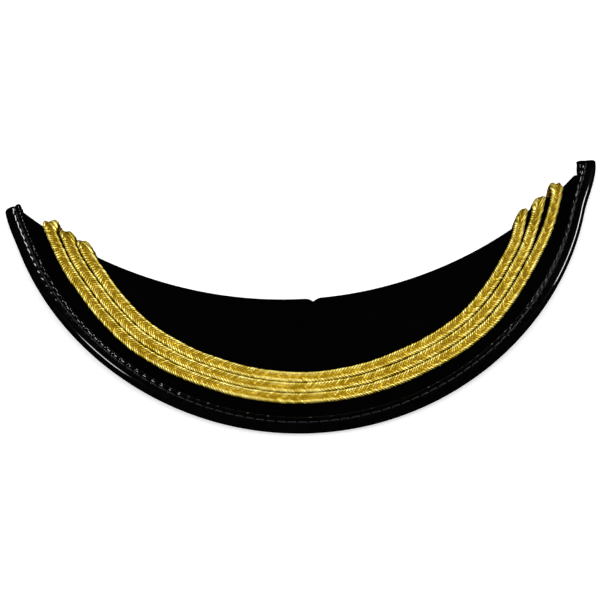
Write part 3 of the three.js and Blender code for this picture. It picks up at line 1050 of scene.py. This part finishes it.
# %% Braid surface
ROW_STEP = 0.108 * MM
LINING_HALF = 1.29 * MM
SKEW = 0.85
BULGE_SHIFT = 0.25
CORNER_AT, CORNER_LEAD = 1.15, 0.9
WIDEN_LEAD = 1.5 * MM


def past_the_edge(point, reach, back, side, centre):
    """Pattern points moved out past the seam by a reach, in under it again, and sideways.

    Sideways is what is left of the braid's own direction once its part square to the seam is
    taken off, over that part.
    """
    away = -ellipse_frame(seam, np.arctan2(*seam_shares(point)))[1]
    onward = side[..., None] * ellipse_frame(rim, centre * rim["end"])[2]
    square_on = np.sum(onward * away, axis=-1, keepdims=True)
    edgeways = (onward - away * square_on) / square_on
    return point + away * (reach - back)[..., None] + edgeways * SKEW * reach[..., None]


def braid_surface(order, seed, slack, rounding, loose_sides, widening):
    """Grid of a whole braid: rows of its section along the run, round the edge and along the tail.

    For both ends, left and right: slack is how much further than a tight half turn it bulges,
    rounding is how far its corner on the rim's side is held back, loose_sides is how far the
    seam's side of it runs on towards the place where the middle line turns over, and widening
    is how much wider its seam's half is where it turns over.
    """
    left_table, left_end = turning_places(order, -1, loose_sides[0])
    right_table, right_end = turning_places(order, 1, loose_sides[1])
    coarse_run, coarse = middle_run(order, left_end, right_end)
    length = coarse_run[-1]
    turn_length = np.pi * (CLOTH_HALF + BEAD_HEIGHT)
    extra = turn_length + BRAID_TAIL
    run = np.arange(-extra, length + extra, ROW_STEP)[:, None]
    past = np.maximum(-run, run - length)
    across, up, relief = section_along(run, past, seed)
    share = np.interp(run, coarse_run, coarse)
    side = np.where(share < 0, -1, 1)
    own_left = np.interp(across, across_table, left_table)
    own_right = np.interp(across, across_table, right_table)
    own = np.where(side < 0, own_left, own_right)
    centre = np.where(side < 0, left_end, right_end)
    swing = smooth((np.abs(share) - BRAID_SWING) / (1 - BRAID_SWING))
    place = np.abs(share) * (centre + (own - centre) * swing)
    wider = np.where(side < 0, *widening) * smooth(past / (2 * WIDEN_LEAD) + 0.5)
    point = braid_point(order, across + wider * np.minimum(0, across), place)
    past = np.maximum(0, past)
    back = np.maximum(0, past - turn_length)
    angle = np.clip(past / turn_length, 0, 1) * np.pi
    radius = CLOTH_HALF + (LINING_HALF - CLOTH_HALF) * smooth(angle / np.pi) + up
    loose = 1 + np.where(side < 0, *slack) * np.maximum(0, 1 - (across + BULGE_SHIFT) ** 2)
    corner = 1 - smooth((CORNER_AT - across) / CORNER_LEAD)
    reach = radius * np.sin(angle) * loose * (1 - np.where(side < 0, *rounding) * corner)
    point = past_the_edge(point, reach, back, side, centre)
    uv = np.stack([run + 0 * section_run, section_run + 0 * run], -1)
    # Relief times lit: the colour darkens in the gaps between threads and on the flanks between
    # braids, as painted shade.
    values = {"relief": relief * lit, "strip": on_strip + 0 * relief}
    return mould(point, radius * np.cos(angle)), uv, values


def fan_caps(rows, columns):
    """Both ends of a full section, closed by one face each."""
    first = np.arange(columns)[None, ::-1]
    return np.concatenate([first, (first[:, ::-1] + (rows - 1) * columns)])


# %% [markdown]
# Gold thread is a flattened gilt wire wound round a core, so it is metal, but a bundle of it
# scatters light like satin. Its colour carries painted shade: pale yellow on the tops of the threads,
# brown olive in the gaps between the threads, darker all over the low strip between the beads, and
# dull specks lie on it. The threads' relief and the low strip were put on the mesh as values, with
# the relief fading out on the flanks between two braids, which paints shade there. The shader finds
# its colours by them.

# %% Gold finish
FILAMENT_DEPTH = 0.07 * MM


def gold_finish():
    material, shader = new_material("gilt_thread")

    def value(name):
        return add_node(material, "ShaderNodeAttribute", attribute_name=name).outputs["Fac"]

    uv = coordinates(material, "UV")
    filament = noise(material, uv, 5200, detail=3.0, stretch=(1.0, 0.35, 1.0))
    speckle = noise(material, uv, 1300, detail=3.0, stretch=(1.0, 0.7, 1.0))
    speckle = math(material, "MINIMUM", between(material, speckle, -3.0, 4.0), 1.0)
    dull = math(material, "MAXIMUM", speckle, 0.0)
    # Painted shade: the beads' colour darkens from pale yellow to dark brown as the relief value
    # falls, in the gaps between threads and on the flanks between braids.
    bead_colour_with_painted_shade = ramp(
        material,
        times(material, value("relief"), between(material, filament, 0.75, 1.2)),
        (0.2, (0.04, 0.018, 0.0)),
        (0.5, (0.64, 0.455, 0.02)),
        (0.85, (1.0, 0.9, 0.3)),
    )
    # Painted shade: the low strip between the beads takes darker colours than the beads.
    strip_colour_with_painted_shade = ramp(
        material,
        times(material, value("relief"), between(material, filament, 0.7, 1.2)),
        (0.25, (0.02, 0.008, 0.0)),
        (0.55, (0.24, 0.14, 0.001)),
        (0.95, (0.68, 0.5, 0.035)),
    )
    colour = blend(material, value("strip"), bead_colour_with_painted_shade, strip_colour_with_painted_shade)
    specks = times(material, dull, between(material, value("strip"), 0.5, 0.9))
    shaded = blend(material, specks, colour, (0.15, 0.085, 0.001))
    connect(material, shaded, shader.inputs["Base Color"])
    rough = plus(material, times(material, filament, 0.25), times(material, value("strip"), 0.1))
    connect(material, plus(material, rough, 0.24), shader.inputs["Roughness"])
    shader.inputs["Metallic"].default_value = 0.75
    shader.inputs["Specular IOR Level"].default_value = 0.1
    bump(material, shader, filament, FILAMENT_DEPTH)
    return material


gold = gold_finish()
print("gold:", len(gold.node_tree.nodes), "nodes")

# %% [markdown]
# The three braids are alike along the rim and differ at their ends, where each was tucked under
# by hand. So one surface makes them all, and a table holds what each end does: left and right
# values of slack, rounding, loose side and widening.

# %% Three braids
FIRST_SEED = 11
BRAIDS = (
    ("gold_braid_outer", "braid_outer", (0.0, 0.0), (0.5, 0.9), (0.9, 0.9), (0.8, 0.4)),
    ("gold_braid_middle", "braid_middle", (0.15, 0.25), (0.25, 0.1), (0.55, 0.4), (0.4, 0.1)),
    ("gold_braid_inner", "braid_inner", (0.15, 0.4), (0.25, 0.0), (0.5, 0.35), (0.2, 0.0)),
)
braids = []
for order, (name, node, *folds) in enumerate(BRAIDS):
    points, uv, values = braid_surface(order, FIRST_SEED + order, *folds)
    rows, columns = points.shape[:2]
    faces = [grid_faces(rows, columns), fan_caps(rows, columns)]
    braid = make_piece(name, points, faces, uv=uv, values=values)
    dress(braid, gold, "gold_braid", node)
    braids.append(braid)


# %% [markdown]
# The floor is plain and white, as in a catalogue picture. Black patent leather shows whatever it
# mirrors, and a white floor would turn it grey, so the floor is kept out of reflections. A little
# light of its own keeps the paper white up to the edges of the picture.

# %% Floor
FLOOR_HALF = 2.0


def floor_finish():
    material, shader = new_material("white_paper")
    grain = noise(material, coordinates(material, "Object"), 60)
    colour = ramp(material, grain, (0.2, (0.86, 0.86, 0.86)), (0.8, (0.9, 0.9, 0.9)))
    connect(material, colour, shader.inputs["Base Color"])
    shader.inputs["Roughness"].default_value = 0.9
    shader.inputs["Specular IOR Level"].default_value = 0.1
    shader.inputs["Emission Color"].default_value = (1.0, 1.0, 1.0, 1.0)
    shader.inputs["Emission Strength"].default_value = 0.5
    return material


corners = np.array([[-1, -1, 0], [1, -1, 0], [1, 1, 0], [-1, 1, 0]]) * FLOOR_HALF
floor_mesh = bpy.data.meshes.new("floor")
floor_mesh.from_pydata(corners.tolist(), [], [(0, 1, 2, 3)])
floor_mesh.materials.append(floor_finish())
floor = bpy.data.objects.new("floor", floor_mesh)
bpy.context.scene.collection.objects.link(floor)
floor.visible_glossy = False
print("floor:", 2 * FLOOR_HALF, "m square")

# %% [markdown]
# Light as soft as the photograph's comes from a plain white sky, which is kept out of reflections
# too. Only lamps can then be seen in the leather. Three small ones light the leather and its
# stitches alone: the one at the right gives the long streak there, the one at the back the two
# dashed rows on the left, and the one at the left a short streak at the front. One wide lamp
# lights the braids alone, because metal thread needs something large and bright to mirror.

# %% Lamps, sky and view
MIDDLE = Vector((0, 0, 0))
SMALL_LAMPS = (
    ("right_strip", (0.97, 0.39, 0.34), (0.42, 0.13), 3.9),
    ("back", (-0.36, 0.81, 0.8), (0.2, 0.2), 2.0),
    ("left_side", (-0.92, 0.0, 0.77), (0.3, 0.2), 3.0),
)
WIDE_LAMP = ("over_braids", (0.0, -0.2, 1.2), (3.6, 3.6), 97)


def group_of(name, pieces):
    """Collection of the only pieces that a lamp lights."""
    group = bpy.data.collections.new(name)
    for piece in pieces:
        group.objects.link(piece)
    return group


def lamp(receivers, name, at, size, power):
    """Rectangular soft lamp at a place in metres, facing the middle, for some pieces only."""
    light = bpy.data.lights.new(name, "AREA")
    light.shape = "RECTANGLE"
    light.size, light.size_y = size
    light.energy = power
    holder = bpy.data.objects.new(name, light)
    holder.location = at
    holder.rotation_euler = (MIDDLE - Vector(at)).to_track_quat("-Z", "Y").to_euler()
    holder.light_linking.receiver_collection = receivers
    bpy.context.scene.collection.objects.link(holder)


leather_only = group_of("leather_only", [binding, stitches])
for settings in SMALL_LAMPS:
    lamp(leather_only, *settings)
lamp(group_of("gold_only", braids), *WIDE_LAMP)

sky = bpy.data.worlds.new("studio")
sky.use_nodes = True
sky.node_tree.nodes["Background"].inputs["Color"].default_value = (1.0, 1.0, 1.0, 1.0)
sky.node_tree.nodes["Background"].inputs["Strength"].default_value = 0.95
sky.cycles_visibility.glossy = False
bpy.context.scene.world = sky

view = bpy.context.scene.view_settings
view.view_transform = "Standard"
view.look = "None"
view.exposure = 0.0
view.gamma = 1.0
print("lamps:", len(bpy.data.lights), "and a sky")
